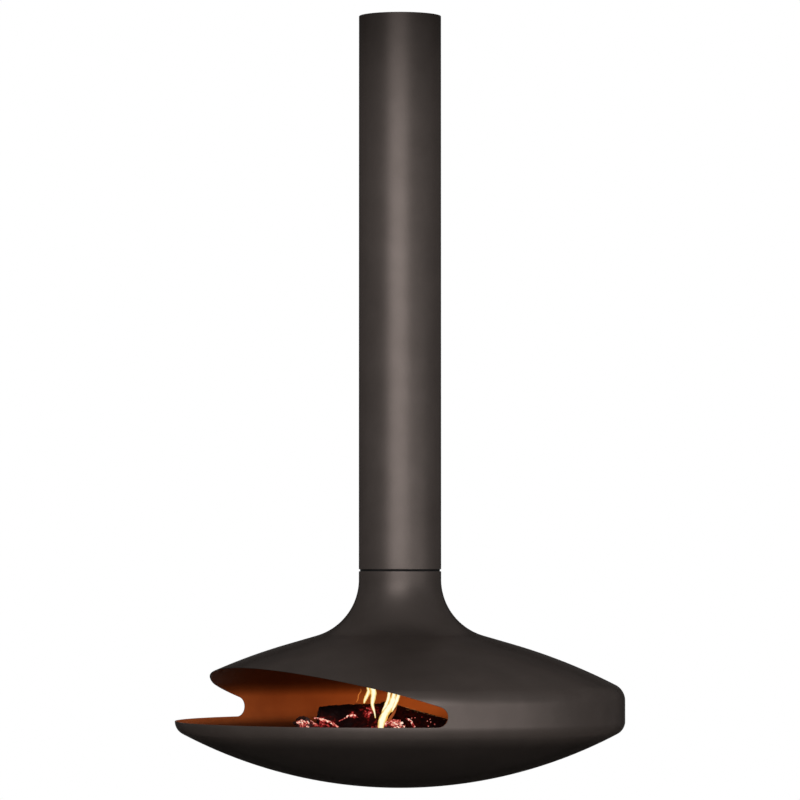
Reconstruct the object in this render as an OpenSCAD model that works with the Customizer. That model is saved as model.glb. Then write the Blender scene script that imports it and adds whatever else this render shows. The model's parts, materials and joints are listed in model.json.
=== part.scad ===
// Hanging fireplace: a round hearth that turns on a ball race at the foot of its flue.
// Millimetres, +Z up. The origin is the centre of the top face, where the flue hangs.
// The mouth of the hearth faces -Y.

/* [Flue] */
// Length of the outer casing, from the ceiling to the turning joint
casing_l = 1542.5; // [600:0.5:3000]
// Outer diameter of the casing, and of the hood's neck below it
casing_d = 229; // [222:1:300]
// Wall of the casing
casing_t = 3; // [2:0.5:4]
// Bore of the inner flue pipe
liner_d = 180; // [150:1:186]
// Wall of the inner flue pipe
liner_t = 1.5; // [1:0.5:2]
// Depth of the socket that takes the next flue pipe
socket_l = 60; // [40:5:120]
// Play between the socket and the next pipe, all round
socket_gap = 0.2; // [0.1:0.05:0.4]
// Width of the turned-out lip at the top of the socket
lip_w = 4; // [3:0.5:5]
// Thickness of that lip
lip_t = 2; // [1.5:0.5:3]
// Space left free of insulation below the socket
lagging_top_gap = 14; // [5:1:40]

/* [Ceiling fixing] */
// Thickness of the ring that hangs the flue from the ceiling
hanger_t = 10; // [8:1:16]
// Number of ceiling bolts
bolt_n = 8; // [4:1:12]
// Hole for each ceiling bolt
bolt_hole_d = 9; // [7:0.5:9]
// Width across the flats of the welded nuts
nut_af = 13; // [11:1:13]
// Height of the welded nuts
nut_h = 6.5; // [4:0.5:8]

/* [Hearth] */
// Outside diameter of the hearth
hearth_d = 1250; // [1150:10:1400]
// Height of the hood, from the rim to the top of the neck
hood_h = 415; // [402.5:2.5:447.5]
// Depth of the bowl below the rim
bowl_depth = 185; // [165:5:220]
// Sheet thickness of the hood and the bowl
wall_t = 3; // [2:0.5:4]
// Height of the upright band above the rim
band_h = 57; // [40:1:75]
// Outer radius of the shoulder above the band
shoulder_r = 48; // [30:1:70]
// Outer radius of the corner below the rim
corner_r = 39.5; // [25:0.5:60]
// Straight part of the neck
neck_l = 22.5; // [20:0.5:40]
// Outer radius of the flare below the neck
flare_r = 162.5; // [155:2.5:170]
// Straight length between the flare and the crown
slope_l = 86; // [60:2:110]
// Outer radius of the hood's crown
crown_r = 1624; // [1500:4:1800]

/* [Mouth] */
// Distance from the axis forward to the ends of the mouth
mouth_end = 181; // [150:1:230]
// Radius of the mouth's rounded ends
mouth_r = 28; // [22:1:34]
// Rise of the mouth's upper edge towards the front
mouth_tilt = 18.7; // [14:0.1:20]

/* [Turning joint] */
// Open seam between the casing and the neck
seam_gap = 5.5; // [2:0.5:8]
// Thickness of the fixed race that is welded into the casing
race_t = 10; // [8:1:14]
// Ball diameter
ball_d = 8; // [6:0.5:8]
// Number of balls
ball_n = 24; // [12:1:30]
// Open height between the two races
race_open = 3.2; // [2.8:0.2:4]
// Play between a ball and each race
ball_gap = 0.2; // [0.1:0.05:0.3]
// Thickness of the ball cage
cage_t = 2; // [1:0.2:2]
// Play of the turning spigot in the fixed race, all round
running_gap = 0.05; // [0.02:0.01:0.09]
// Wall of the spigot
spigot_t = 3; // [2.5:0.5:4]
// Thickness of the spigot's top flange
flange_t = 8; // [7:1:12]
// Thickness of the ring welded into the neck
carrier_t = 12; // [10:1:16]
// Width of that ring's raised edge, which keeps dust and light out of the seam
dust_edge_w = 3.5; // [2:0.5:4]
// How far the raised edge reaches into the casing
dust_edge_up = 1; // [0.5:0.5:3]
// Thickness of the ring that clamps the spigot to it
clamp_t = 6; // [4:1:10]
// Diameter of the sealing rope round the flue pipe
rope_d = 5; // [4:0.5:6]
// Screws in each of the clamp ring's two circles
screw_n = 8; // [6:1:12]
// Thread diameter of those screws
screw_d = 4; // [3:0.5:4]

/* [Damper] */
// Wall of the damper collar
collar_t = 2; // [1.5:0.5:3]
// Play between the collar and the fixed flue pipe, all round
collar_gap = 0.5; // [0.4:0.1:1]
// How far the collar reaches up inside the flue pipe
collar_up = 32.5; // [20:0.5:60]
// How far the collar reaches down from the neck's top
collar_down = 195.5; // [180:0.5:220]
// Height of the damper spindle below the neck's top
damper_drop = 145.5; // [134:0.5:150]
// Spindle diameter
spindle_d = 10; // [8:1:12]
// Play of the spindle in its bushes, all round
spindle_gap = 0.05; // [0.02:0.01:0.09]
// Thickness of the damper flap
flap_t = 3; // [2:0.5:4]
// Length of the operating lever
lever_l = 118; // [80:2:124]
// Thickness of the lever
lever_t = 5; // [4:0.5:7]
// Backward lean of the lever when the damper is open
lever_lean = 10; // [6:1:14]
// Depth of the smoke shelf's inner edge below the neck's top
shelf_drop = 57.5; // [42:0.5:88]
// Fall of the smoke shelf from its inner to its outer edge
shelf_fall = 18; // [6:2:24]

/* [Fire bed] */
// Diameter of the cast fire grate
grate_d = 596; // [520:4:640]
// Diameter of its flat floor
grate_floor_d = 430; // [380:10:450]
// Depth of the grate's floor below the hearth's rim
grate_floor_drop = 62; // [56:2:72]
// Depth of the grate's edge below the hearth's rim
grate_edge_drop = 24; // [18:1:32]
// Thickness of the casting
grate_t = 8; // [6:1:10]
// Slots across the floor
slot_n = 11; // [5:2:13]
// Width of a slot
slot_w = 9; // [6:1:12]
// Diameter of the stand under the grate
stand_d = 400; // [380:10:420]
// Wall of the stand
stand_t = 4; // [3:0.5:6]
// Diameter of the ash pan at its bottom
pan_d = 340; // [300:10:350]
// Height of the ash pan
pan_h = 48; // [30:2:52]
// Sheet thickness of the ash pan
pan_t = 1.5; // [1:0.5:2]
// Width of the ash pan's handle
handle_w = 18; // [12:1:30]
// Rise of the handle above the pan's edge
handle_rise = 22; // [14:2:24]

/* [Fire] */
// Radius of the two large logs
log_r = 40; // [34:1:42]
// Level of the embers below the hearth's rim, between the heaps
ember_drop = 42; // [36:1:48]
// Height of the heap of embers at the front
heap_h = 48; // [30:1:50]

/* [Hidden] */
$fn = 128;

// Clearances that several pieces share, and how far a cut runs past its piece
weld_gap = 0.1;
seat_gap = 0.3;
rope_gap = 0.25;
dust_gap = 0.4;
foot_gap = 1.5;
tap_gap = 0.05;
hole_play = 0.5;
tip_gap = 1;
cut_over = 1;

// Radii from the casing inwards
casing_r = casing_d / 2;
casing_ri = casing_r - casing_t;
neck_ri = casing_r - wall_t;
liner_ri = liner_d / 2;
liner_ro = liner_ri + liner_t;
socket_ri = liner_ro + socket_gap;
socket_ro = socket_ri + liner_t;
lip_r = socket_ro + lip_w;
spigot_ri = liner_ro + rope_d + 2 * rope_gap;
spigot_ro = spigot_ri + spigot_t;
foot_ri = liner_ro + foot_gap;
race_ri = spigot_ro + running_gap;
pitch_r = (spigot_ro + casing_ri) / 2;
collar_ro = liner_ri - collar_gap;
collar_ri = collar_ro - collar_t;

// Levels from the top downwards
casing_z = -casing_l;
neck_z = casing_z - seam_gap;
rim_z = neck_z - hood_h;
race_top_z = casing_z + race_t;
ball_z = race_top_z + race_open / 2;
flange_z = race_top_z + race_open;
stop_gap = 3;
stop_t = 2;
stop_z = flange_z + flange_t + stop_gap;
carrier_z = neck_z - carrier_t;
clamp_z = carrier_z - clamp_t;
dust_edge_r = casing_ri - dust_gap;
dust_edge_ri = dust_edge_r - dust_edge_w;
dust_edge_z = casing_z + dust_edge_up;
liner_lift = 2;
liner_z = carrier_z + liner_lift;
lagging_z = stop_z + stop_t + seat_gap;
lagging_top_z = -socket_l - lagging_top_gap;
spindle_z = neck_z - damper_drop;

// Ceiling bolts, midway between the lip's seat and the casing
seat_r = lip_r + seat_gap;
bolt_circle_r = (seat_r + casing_ri) / 2;

// Ball races
ball_r = ball_d / 2;
groove_r = ball_r * 1.1;
groove_shift = groove_r - ball_r - ball_gap;
cage_side_gap = 0.6;

// Screws of the clamp ring
head_r = screw_d * 0.875;
head_h = screw_d;
hex_key_r = screw_d * 0.45;
screw_bite = 8;
screw_l = clamp_t + screw_bite;
inner_screw_r = (foot_ri + spigot_ro) / 2;
outer_screw_r = pitch_r;
clamp_edge_gap = 1.5;

// Outline of the hood: band, shoulder, crown, straight, flare and neck, each tangent to the next.
// The crown's centre lies where both its tangencies hold, and the slope of the straight follows
hearth_r = hearth_d / 2;
flare_c = [casing_r + flare_r, hood_h - neck_l];
shoulder_c = [hearth_r - shoulder_r, band_h];
apart = norm(shoulder_c - flare_c);
across = (shoulder_c - flare_c) / apart;
flare_to_crown = norm([flare_r + crown_r, slope_l]);
shoulder_to_crown = crown_r - shoulder_r;
crown_along = (pow(flare_to_crown, 2) - pow(shoulder_to_crown, 2) + pow(apart, 2)) / (2 * apart);
crown_below = sqrt(pow(flare_to_crown, 2) - pow(crown_along, 2));
crown_v = crown_along * across + crown_below * [across.y, -across.x];
crown_c = flare_c + crown_v;
hood_slope = atan2(
    -crown_v.x * (flare_r + crown_r) - crown_v.y * slope_l,
    crown_v.x * slope_l - crown_v.y * (flare_r + crown_r)
);
shoulder_a = atan2(shoulder_c.y - crown_c.y, shoulder_c.x - crown_c.x);

// Outline of the bowl: corner and dish
corner_c = [hearth_r - corner_r, 0];
dish_r = (corner_c.x * corner_c.x + bowl_depth * bowl_depth - corner_r * corner_r)
    / (2 * (bowl_depth - corner_r));
dish_z = dish_r - bowl_depth;
dish_a = -atan2(dish_z, corner_c.x);

// Damper
spindle_r = spindle_d / 2;
bush_t = 3;
bush_r = spindle_r + bush_t;
bush_flange_w = 3;
bush_flange_r = bush_r + bush_flange_w;
bush_flange_t = 2;
bush_in = 2;
bush_x = collar_ri - bush_in;
bush_l = bush_in + collar_t + bush_flange_t;
flat_y = spindle_r * 0.6;
flap_gap = 1;
flap_r = bush_x - flap_gap;
flap_screw_d = 5;
flap_screw_x = flap_r * 0.55;
screw_head_t = 3;
lever_gap = 4;
lever_x = bush_x + bush_l + lever_gap;
lever_w = 12;
lever_hub_r = spindle_r + 7;
eye_r = 12;
eye_hole_r = 7;
collar_w = 4;
lever_nut_h = 6;
clip_t = 1.5;
clip_gap = 0.6;
clip_x = bush_x + bush_l + clip_gap;
spindle_over = 2.5;

// Smoke shelf, which follows the inside of the flare
shelf_t = 3;
shelf_edge_h = hood_h - shelf_drop - shelf_fall;

// Fire bed, measured from the rim
grate_r = grate_d / 2;
grate_floor_r = grate_floor_d / 2;
grate_rise_a = atan2(grate_floor_drop - grate_edge_drop, grate_r - grate_floor_r);
stand_r = stand_d / 2;
stand_top_h = -grate_floor_drop - grate_t;
pan_r = pan_d / 2;
pan_flare = 8;
pan_z = bowl_inside(pan_r) + seat_gap;
handle_t = 3;
handle_gap = 2;
handle_bend = 14;
slot_edge = 18;

// Logs: one end, the other end, their radii and the number that shapes them
log_left_at = [[-83, -214, -4], [-8, -32, 8], log_r, log_r, 1];
log_right_at = [[-113, 2, 17], [109, 111, -28], log_r - 2, log_r - 11, 2];
log_under_at = [[-115, -85, -41], [-103, 79, -41], log_r / 2, log_r / 2, 3];
log_back_at = [[-129, grate_r - 159, -28], [39, grate_r - 103, -30], log_r * 0.78, log_r * 0.74, 4];
log_front_at = [[15, 103 - grate_r, -43], [72, -70, -44], log_r * 0.42, log_r * 0.36, 5];
LOGS = [log_left_at, log_right_at, log_under_at, log_back_at, log_front_at];
log_sides = 12;
log_rings = 7;
log_play = 0.5;
log_tilt = 5;

// Heaps of embers: place, height over the bed and width
HEAPS = [
    [-75, -262, heap_h, 62],
    [38, -62, heap_h * 0.8, 46],
    [70, 60, heap_h * 0.35, 70]
];
ember_spokes = 40;
ember_rings = 10;
ember_edge = 8;
ember_min = 2;

// Steps of the curved outlines
shoulder_n = 12;
crown_n = 12;
flare_n = 20;
corner_n = 12;
dish_n = 24;
mouth_n = 20;

function arc(c, r, a0, a1, n, first = 0) =
    [for (i = [first:n]) let (a = a0 + (a1 - a0) * i / n) c + r * [cos(a), sin(a)]];

function hood_side(off) = concat(
    [[hearth_r - off, 0]],
    arc(shoulder_c, shoulder_r - off, 0, shoulder_a, shoulder_n),
    arc(crown_c, crown_r - off, shoulder_a, 90 - hood_slope, crown_n, 1),
    arc(flare_c, flare_r + off, 270 - hood_slope, 180, flare_n),
    [[casing_r - off, hood_h]]
);

function bowl_side(off) = concat(
    arc(corner_c, corner_r - off, 0, dish_a, corner_n),
    arc([0, dish_z], dish_r - off, dish_a, -90, dish_n, 1)
);

function reversed(p) = [for (i = [len(p) - 1:-1:0]) p[i]];

// Height of the bowl's inner face over the rim, at a radius
function bowl_inside(r) = dish_z - sqrt(pow(dish_r - wall_t, 2) - r * r);

// Inner radius of the flare at a height over the rim
function flare_inside(h) = flare_c.x - sqrt(pow(flare_r + wall_t, 2) - pow(flare_c.y - h, 2));

module ring(r_out, r_in, z0, z1) {
    translate([0, 0, z0])
        difference() {
            cylinder(r = r_out, h = z1 - z0);
            translate([0, 0, -cut_over])
                cylinder(r = r_in, h = z1 - z0 + 2 * cut_over);
        }
}

module around(n, r) {
    for (i = [0:n - 1])
        rotate([0, 0, 360 * (i + 0.5) / n])
            translate([r, 0, 0])
                children();
}

module groove(z) {
    translate([0, 0, z])
        rotate_extrude($fn = 96)
            translate([pitch_r, 0])
                circle(r = groove_r, $fn = 32);
}

// The flue, which is fixed to the ceiling

module flue_casing() {
    color("#4a423c")
        ring(casing_r, casing_ri, casing_z, 0);
}

module hanger_ring() {
    color("#6b6d70")
        difference() {
            ring(casing_ri - weld_gap, socket_ro + seat_gap, -hanger_t, 0);
            translate([0, 0, -lip_t])
                cylinder(r = seat_r, h = lip_t + cut_over);
            around(bolt_n, bolt_circle_r)
                translate([0, 0, -hanger_t - cut_over])
                    cylinder(d = bolt_hole_d, h = hanger_t + 2 * cut_over, $fn = 32);
        }
}

module weld_nuts() {
    nut_thread = 0.6;
    color("#8d8f92")
        around(bolt_n, bolt_circle_r)
            translate([0, 0, -hanger_t - nut_h])
                difference() {
                    rotate([0, 0, 30])
                        cylinder(d = nut_af / cos(30), h = nut_h, $fn = 6);
                    translate([0, 0, -cut_over])
                        cylinder(d = bolt_hole_d - nut_thread, h = nut_h + 2 * cut_over, $fn = 32);
                }
}

module flue_liner() {
    swage = 6;
    color("#9a9c9e")
        rotate_extrude()
            polygon([
                [liner_ri, liner_z],
                [liner_ro, liner_z],
                [liner_ro, -socket_l - swage],
                [socket_ro, -socket_l],
                [socket_ro, -lip_t],
                [lip_r, -lip_t],
                [lip_r, 0],
                [socket_ri, 0],
                [socket_ri, -socket_l],
                [liner_ri, -socket_l - swage]
            ]);
}

module flue_lagging() {
    color("#d9d2bf")
        ring(casing_ri - seat_gap, liner_ro + seat_gap, lagging_z, lagging_top_z);
}

module lagging_stop() {
    color("#77797c")
        ring(casing_ri - weld_gap, liner_ro + seat_gap, stop_z, stop_z + stop_t);
}

module fixed_race() {
    color("#6b6d70")
        difference() {
            ring(casing_ri - weld_gap, race_ri, casing_z, race_top_z);
            groove(ball_z + groove_shift);
            ring(casing_ri, dust_edge_ri - dust_gap, casing_z - cut_over, dust_edge_z + dust_gap);
        }
}

// The ball cage, which follows at half the hearth's turn

module ball_cage() {
    color("#b08d4a")
        difference() {
            ring(casing_ri - cage_side_gap, spigot_ro + cage_side_gap,
                ball_z - cage_t / 2, ball_z + cage_t / 2);
            around(ball_n, pitch_r)
                translate([0, 0, ball_z - cage_t])
                    cylinder(r = ball_r + ball_gap, h = 2 * cage_t, $fn = 32);
        }
}

module bearing_balls() {
    color("#c8cacc")
        around(ball_n, pitch_r)
            translate([0, 0, ball_z])
                sphere(r = ball_r, $fn = 32);
}

// The hearth, which turns

module spigot() {
    color("#7d7f82")
        difference() {
            rotate_extrude()
                polygon([
                    [foot_ri, carrier_z],
                    [spigot_ro, carrier_z],
                    [spigot_ro, flange_z],
                    [casing_ri - cage_side_gap, flange_z],
                    [casing_ri - cage_side_gap, flange_z + flange_t],
                    [spigot_ri, flange_z + flange_t],
                    [spigot_ri, neck_z],
                    [foot_ri, neck_z]
                ]);
            groove(ball_z - groove_shift);
            screw_holes(inner_screw_r);
        }
}

module carrier_ring() {
    color("#2f2e2d")
        difference() {
            rotate_extrude()
                polygon([
                    [spigot_ro + seat_gap, carrier_z],
                    [neck_ri - weld_gap, carrier_z],
                    [neck_ri - weld_gap, neck_z],
                    [dust_edge_r, neck_z],
                    [dust_edge_r, dust_edge_z],
                    [dust_edge_ri, dust_edge_z],
                    [dust_edge_ri, neck_z],
                    [spigot_ro + seat_gap, neck_z]
                ]);
            screw_holes(outer_screw_r);
        }
}

module clamp_ring() {
    color("#7d7f82")
        difference() {
            ring(neck_ri - clamp_edge_gap, collar_ro + weld_gap, clamp_z, carrier_z);
            clamp_hole(inner_screw_r);
            clamp_hole(outer_screw_r);
        }
}

module clamp_hole(r) {
    around(screw_n, r)
        translate([0, 0, clamp_z - cut_over])
            cylinder(d = screw_d + hole_play, h = clamp_t + 2 * cut_over, $fn = 32);
}

module screw_holes(r) {
    around(screw_n, r)
        translate([0, 0, carrier_z - cut_over])
            cylinder(r = screw_d / 2 + tap_gap, h = screw_bite + tip_gap + cut_over, $fn = 32);
}

module clamp_screws() {
    color("#3c3d3f") {
        around(screw_n, inner_screw_r)
            cap_screw();
        around(screw_n, outer_screw_r)
            cap_screw();
    }
}

module cap_screw() {
    translate([0, 0, clamp_z - head_h])
        difference() {
            union() {
                cylinder(r = head_r, h = head_h, $fn = 32);
                cylinder(d = screw_d, h = head_h + screw_l, $fn = 32);
            }
            translate([0, 0, -cut_over])
                cylinder(r = hex_key_r, h = head_h / 2 + cut_over, $fn = 6);
        }
}

module seal_rope() {
    color("#e4e0d4")
        translate([0, 0, neck_z + rope_d / 2 + weld_gap])
            rotate_extrude()
                translate([(liner_ro + spigot_ri) / 2, 0])
                    circle(d = rope_d, $fn = 32);
}

module damper_collar() {
    color("#8a8c8f")
        difference() {
            ring(collar_ro, collar_ri, neck_z - collar_down, neck_z + collar_up);
            translate([0, 0, spindle_z])
                rotate([0, 90, 0])
                    cylinder(r = bush_r + running_gap, h = 3 * collar_ro, center = true, $fn = 48);
        }
}

module smoke_shelf() {
    edge_r = flare_inside(shelf_edge_h) - seat_gap;
    z_in = neck_z - shelf_drop;
    z_out = z_in - shelf_fall;
    color("#5a4438")
        rotate_extrude()
            polygon([
                [collar_ro + weld_gap, z_in - shelf_t],
                [edge_r, z_out - shelf_t],
                [edge_r, z_out],
                [collar_ro + weld_gap, z_in]
            ]);
}

module damper_bushes() {
    color("#b08d4a")
        for (side = [0, 180])
            rotate([0, 0, side])
                translate([bush_x, 0, spindle_z])
                    rotate([0, 90, 0])
                        difference() {
                            union() {
                                cylinder(r = bush_r, h = bush_l, $fn = 48);
                                translate([0, 0, bush_in + collar_t + weld_gap])
                                    cylinder(r = bush_flange_r, h = bush_flange_t - weld_gap, $fn = 48);
                            }
                            translate([0, 0, -cut_over])
                                cylinder(r = spindle_r + spindle_gap, h = bush_l + 2 * cut_over, $fn = 48);
                        }
}

// The damper, which turns in the collar

module damper_spindle() {
    x0 = -clip_x - clip_t - spindle_over;
    x1 = lever_x + lever_t + lever_nut_h + spindle_over;
    color("#a2a4a7")
        translate([0, 0, spindle_z])
            difference() {
                translate([x0, 0, 0])
                    rotate([0, 90, 0])
                        cylinder(r = spindle_r, h = x1 - x0, $fn = 48);
                translate([-flap_r, flat_y, -spindle_d])
                    cube([2 * flap_r, spindle_d, 2 * spindle_d]);
                for (side = [-1, 1])
                    translate([side * flap_screw_x, 0, 0])
                        rotate([90, 0, 0])
                            cylinder(r = flap_screw_d / 2 + tap_gap, h = 2 * spindle_d,
                                center = true, $fn = 32);
            }
}

module damper_flap() {
    color("#54504c")
        translate([0, flat_y, spindle_z])
            rotate([-90, 0, 0])
                difference() {
                    cylinder(r = flap_r, h = flap_t);
                    for (side = [-1, 1])
                        translate([side * flap_screw_x, 0, -cut_over])
                            cylinder(d = flap_screw_d + hole_play, h = flap_t + 2 * cut_over, $fn = 32);
                }
}

module flap_screws() {
    color("#3c3d3f")
        for (side = [-1, 1])
            translate([side * flap_screw_x, flat_y + flap_t, spindle_z])
                rotate([90, 0, 0])
                    union() {
                        cylinder(d = flap_screw_d, h = flap_t + flat_y + spindle_r + tip_gap, $fn = 32);
                        translate([0, 0, -screw_head_t])
                            cylinder(d = flap_screw_d * 1.8, h = screw_head_t, $fn = 6);
                    }
}

module damper_lever() {
    color("#3a3836")
        translate([lever_x, 0, spindle_z])
            rotate([lever_lean, 0, 0])
                rotate([90, 0, 90])
                    linear_extrude(height = lever_t)
                        difference() {
                            union() {
                                circle(r = lever_hub_r, $fn = 48);
                                translate([-lever_w / 2, -lever_l])
                                    square([lever_w, lever_l]);
                                translate([0, -lever_l])
                                    circle(r = eye_r, $fn = 48);
                            }
                            circle(r = spindle_r + tap_gap, $fn = 48);
                            translate([0, -lever_l])
                                circle(r = eye_hole_r, $fn = 48);
                        }
}

module lever_nut() {
    color("#8d8f92")
        translate([lever_x + lever_t, 0, spindle_z])
            rotate([0, 90, 0])
                difference() {
                    cylinder(r = spindle_r + collar_w, h = lever_nut_h, $fn = 6);
                    translate([0, 0, -cut_over])
                        cylinder(r = spindle_r + tap_gap, h = lever_nut_h + 2 * cut_over, $fn = 48);
                }
}

module spindle_clip() {
    color("#3c3d3f")
        translate([-clip_x - clip_t, 0, spindle_z])
            rotate([0, 90, 0])
                difference() {
                    cylinder(r = spindle_r + collar_w, h = clip_t, $fn = 48);
                    translate([0, 0, -cut_over])
                        cylinder(r = spindle_r + tap_gap, h = clip_t + 2 * cut_over, $fn = 48);
                    translate([0, -spindle_r * 0.6, -cut_over])
                        cube([spindle_d, spindle_d * 0.6, clip_t + 2 * cut_over]);
                }
}

// The hood and the bowl, two spun shells that meet at the rim

module hood() {
    color("#4a423c")
        translate([0, 0, rim_z])
            difference() {
                rotate_extrude()
                    polygon(concat(hood_side(0), reversed(hood_side(wall_t))));
                mouth_cut();
            }
}

// The mouth is one straight cut from side to side, with a rising upper edge
module mouth_cut() {
    c = [mouth_end + mouth_r, mouth_r];
    top = c + mouth_r * [-sin(mouth_tilt), cos(mouth_tilt)];
    reach = hearth_r + 20 * cut_over;
    under = 5 * cut_over;
    rotate([90, 0, -90])
        linear_extrude(height = 2 * reach, center = true)
            polygon(concat(
                arc(c, mouth_r, 90 + mouth_tilt, 270, mouth_n),
                [
                    [c.x, -under],
                    [reach, -under],
                    [reach, top.y + (reach - top.x) * tan(mouth_tilt)]
                ]
            ));
}

module bowl() {
    color("#2b2724")
        translate([0, 0, rim_z])
            rotate_extrude()
                polygon(concat(bowl_side(0), reversed(bowl_side(wall_t))));
}

// The fire bed

module grate_stand() {
    foot_out = bowl_inside(stand_r) + seat_gap;
    foot_in = bowl_inside(stand_r - stand_t) + seat_gap;
    color("#4d3a30")
        translate([0, 0, rim_z])
            rotate_extrude()
                polygon([
                    [stand_r - stand_t, foot_in],
                    [stand_r, foot_out],
                    [stand_r, stand_top_h],
                    [stand_r - stand_t, stand_top_h]
                ]);
}

module fire_grate() {
    lip = grate_t / cos(grate_rise_a);
    color("#2e2c2b")
        translate([0, 0, rim_z])
            difference() {
                rotate_extrude()
                    polygon([
                        [0, stand_top_h],
                        [grate_floor_r, stand_top_h],
                        [grate_r, -grate_edge_drop - lip],
                        [grate_r, -grate_edge_drop],
                        [grate_floor_r, -grate_floor_drop],
                        [0, -grate_floor_drop]
                    ]);
                grate_slots();
            }
}

module grate_slots() {
    reach = stand_r - stand_t - slot_edge;
    pitch = 2 * reach / slot_n;
    for (i = [0:slot_n - 1]) {
        y = (i - (slot_n - 1) / 2) * pitch;
        half = sqrt(reach * reach - y * y) - slot_w;
        for (side = [-1, 1])
            translate([side * (half + slot_edge / 2) / 2, y, stand_top_h + grate_t / 2])
                cube([half - slot_edge / 2, slot_w, grate_t + 2 * cut_over], center = true);
    }
}

module ash_pan() {
    top = pan_z + pan_h;
    color("#55504b")
        translate([0, 0, rim_z])
            rotate_extrude()
                polygon([
                    [0, pan_z],
                    [pan_r, pan_z],
                    [pan_r + pan_flare, top],
                    [pan_r + pan_flare - pan_t, top],
                    [pan_r - pan_t, pan_z + pan_t],
                    [0, pan_z + pan_t]
                ]);
}

// A bent strap that stands in the pan and bridges it
module pan_handle() {
    foot = pan_z + pan_t;
    top = pan_z + pan_h + handle_rise;
    half = pan_r - pan_t - handle_gap;
    low = top - handle_bend;
    slant = handle_t * tan(22.5);
    color("#3c3d3f")
        translate([0, 0, rim_z])
            rotate([90, 0, 0])
                linear_extrude(height = handle_w, center = true)
                    polygon([
                        [-half, foot],
                        [-half, low],
                        [-half + handle_bend, top],
                        [half - handle_bend, top],
                        [half, low],
                        [half, foot],
                        [half - handle_t, foot],
                        [half - handle_t, low - slant],
                        [half - handle_bend - slant, top - handle_t],
                        [-half + handle_bend + slant, top - handle_t],
                        [-half + handle_t, low - slant],
                        [-half + handle_t, foot]
                    ]);
}

// The logs and the embers

// Swell of a log's surface at a turn a and a share t of its length
function bark(a, t, k) = 1 + 0.05 * cos(3 * a + 47 * k) + 0.04 * sin(2 * a + 160 * t + 90 * k)
    - 0.05 * pow(abs(2 * t - 1), 6);

module log_shape(at, grow = 0) {
    from = at[0];
    to = at[1];
    k = at[4];
    span = to - from;
    long = norm(span);
    lean = acos(span.z / long);
    turn = atan2(span.y, span.x);
    points = [
        for (i = [0:log_rings - 1])
            for (j = [0:log_sides - 1])
                let (
                    t = i / (log_rings - 1),
                    a = 360 * j / log_sides,
                    r = (at[2] + (at[3] - at[2]) * t) * bark(a, t, k) / 1.06 + grow,
                    z = t * long + (2 * t - 1) * grow + log_tilt * sin(a + 80 * k) * (2 * t - 1)
                )
                [r * cos(a), r * sin(a), z]
    ];
    sides = [
        for (i = [0:log_rings - 2])
            for (j = [0:log_sides - 1])
                let (
                    a = i * log_sides + j,
                    b = i * log_sides + (j + 1) % log_sides
                )
                for (f = [[a, a + log_sides, b], [b, a + log_sides, b + log_sides]])
                    f
    ];
    last = (log_rings - 1) * log_sides;
    ends = [
        for (j = [1:log_sides - 2])
            for (f = [[0, j, j + 1], [last, last + j + 1, last + j]])
                f
    ];
    translate([0, 0, rim_z])
        translate(from)
            rotate([0, lean, turn])
                polyhedron(points = points, faces = concat(sides, ends));
}

module log_left() {
    color("#231a16")
        log_shape(log_left_at);
}

module log_right() {
    color("#231a16")
        log_shape(log_right_at);
}

module log_under() {
    color("#2a1c16")
        log_shape(log_under_at);
}

module log_back() {
    color("#231a16")
        log_shape(log_back_at);
}

module log_front() {
    color("#2a1c16")
        log_shape(log_front_at);
}

// Top of the embers over the rim, and the grate's inner face under them
function heap(x, y, h) = h[2] * exp(-(pow(x - h[0], 2) + pow(y - h[1], 2)) / pow(h[3], 2));
function heaps(x, y, i = 0) = i == len(HEAPS) ? 0 : heap(x, y, HEAPS[i]) + heaps(x, y, i + 1);
function lumps(x, y) = 3 * sin(5.1 * x + 31) * cos(4.3 * y) + 2 * sin(9 * x - 7 * y);
function grate_inside(r) = -grate_floor_drop + seat_gap
    + max(0, r - grate_floor_r) * tan(grate_rise_a) + (r > grate_floor_r ? seat_gap : 0);
function ember_top(x, y) = -ember_drop + heaps(x, y) + lumps(x, y);
function ember_r(i) = (grate_r - ember_edge) * i / ember_rings;

module ember_mound() {
    top = [
        for (i = [1:ember_rings])
            for (j = [0:ember_spokes - 1])
                let (
                    r = ember_r(i),
                    a = 360 * j / ember_spokes,
                    x = r * cos(a),
                    y = r * sin(a),
                    low = grate_inside(r) + ember_min
                )
                [x, y, max(low, ember_top(x, y))]
    ];
    bottom = [
        for (i = [1:ember_rings])
            for (j = [0:ember_spokes - 1])
                let (
                    r = ember_r(i),
                    a = 360 * j / ember_spokes
                )
                [r * cos(a), r * sin(a), grate_inside(r)]
    ];
    n = ember_rings * ember_spokes;
    points = concat(top, bottom, [[0, 0, ember_top(0, 0)], [0, 0, grate_inside(0)]]);
    webs = [
        for (i = [0:ember_rings - 2])
            for (j = [0:ember_spokes - 1])
                let (
                    a = i * ember_spokes + j,
                    b = i * ember_spokes + (j + 1) % ember_spokes,
                    c = a + ember_spokes,
                    d = b + ember_spokes
                )
                for (f = [[a, b, c], [b, d, c], [n + a, n + c, n + b], [n + b, n + c, n + d]])
                    f
    ];
    edge = (ember_rings - 1) * ember_spokes;
    rims = [
        for (j = [0:ember_spokes - 1])
            let (k = (j + 1) % ember_spokes)
            for (f = [
                [2 * n, k, j],
                [2 * n + 1, n + j, n + k],
                [edge + j, edge + k, n + edge + j],
                [edge + k, n + edge + k, n + edge + j]
            ])
                f
    ];
    translate([0, 0, rim_z])
        polyhedron(points = points, faces = concat(webs, rims));
}

module ember_bed() {
    color("#5a1d10")
        difference() {
            ember_mound();
            for (at = LOGS)
                log_shape(at, log_play);
        }
}

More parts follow.
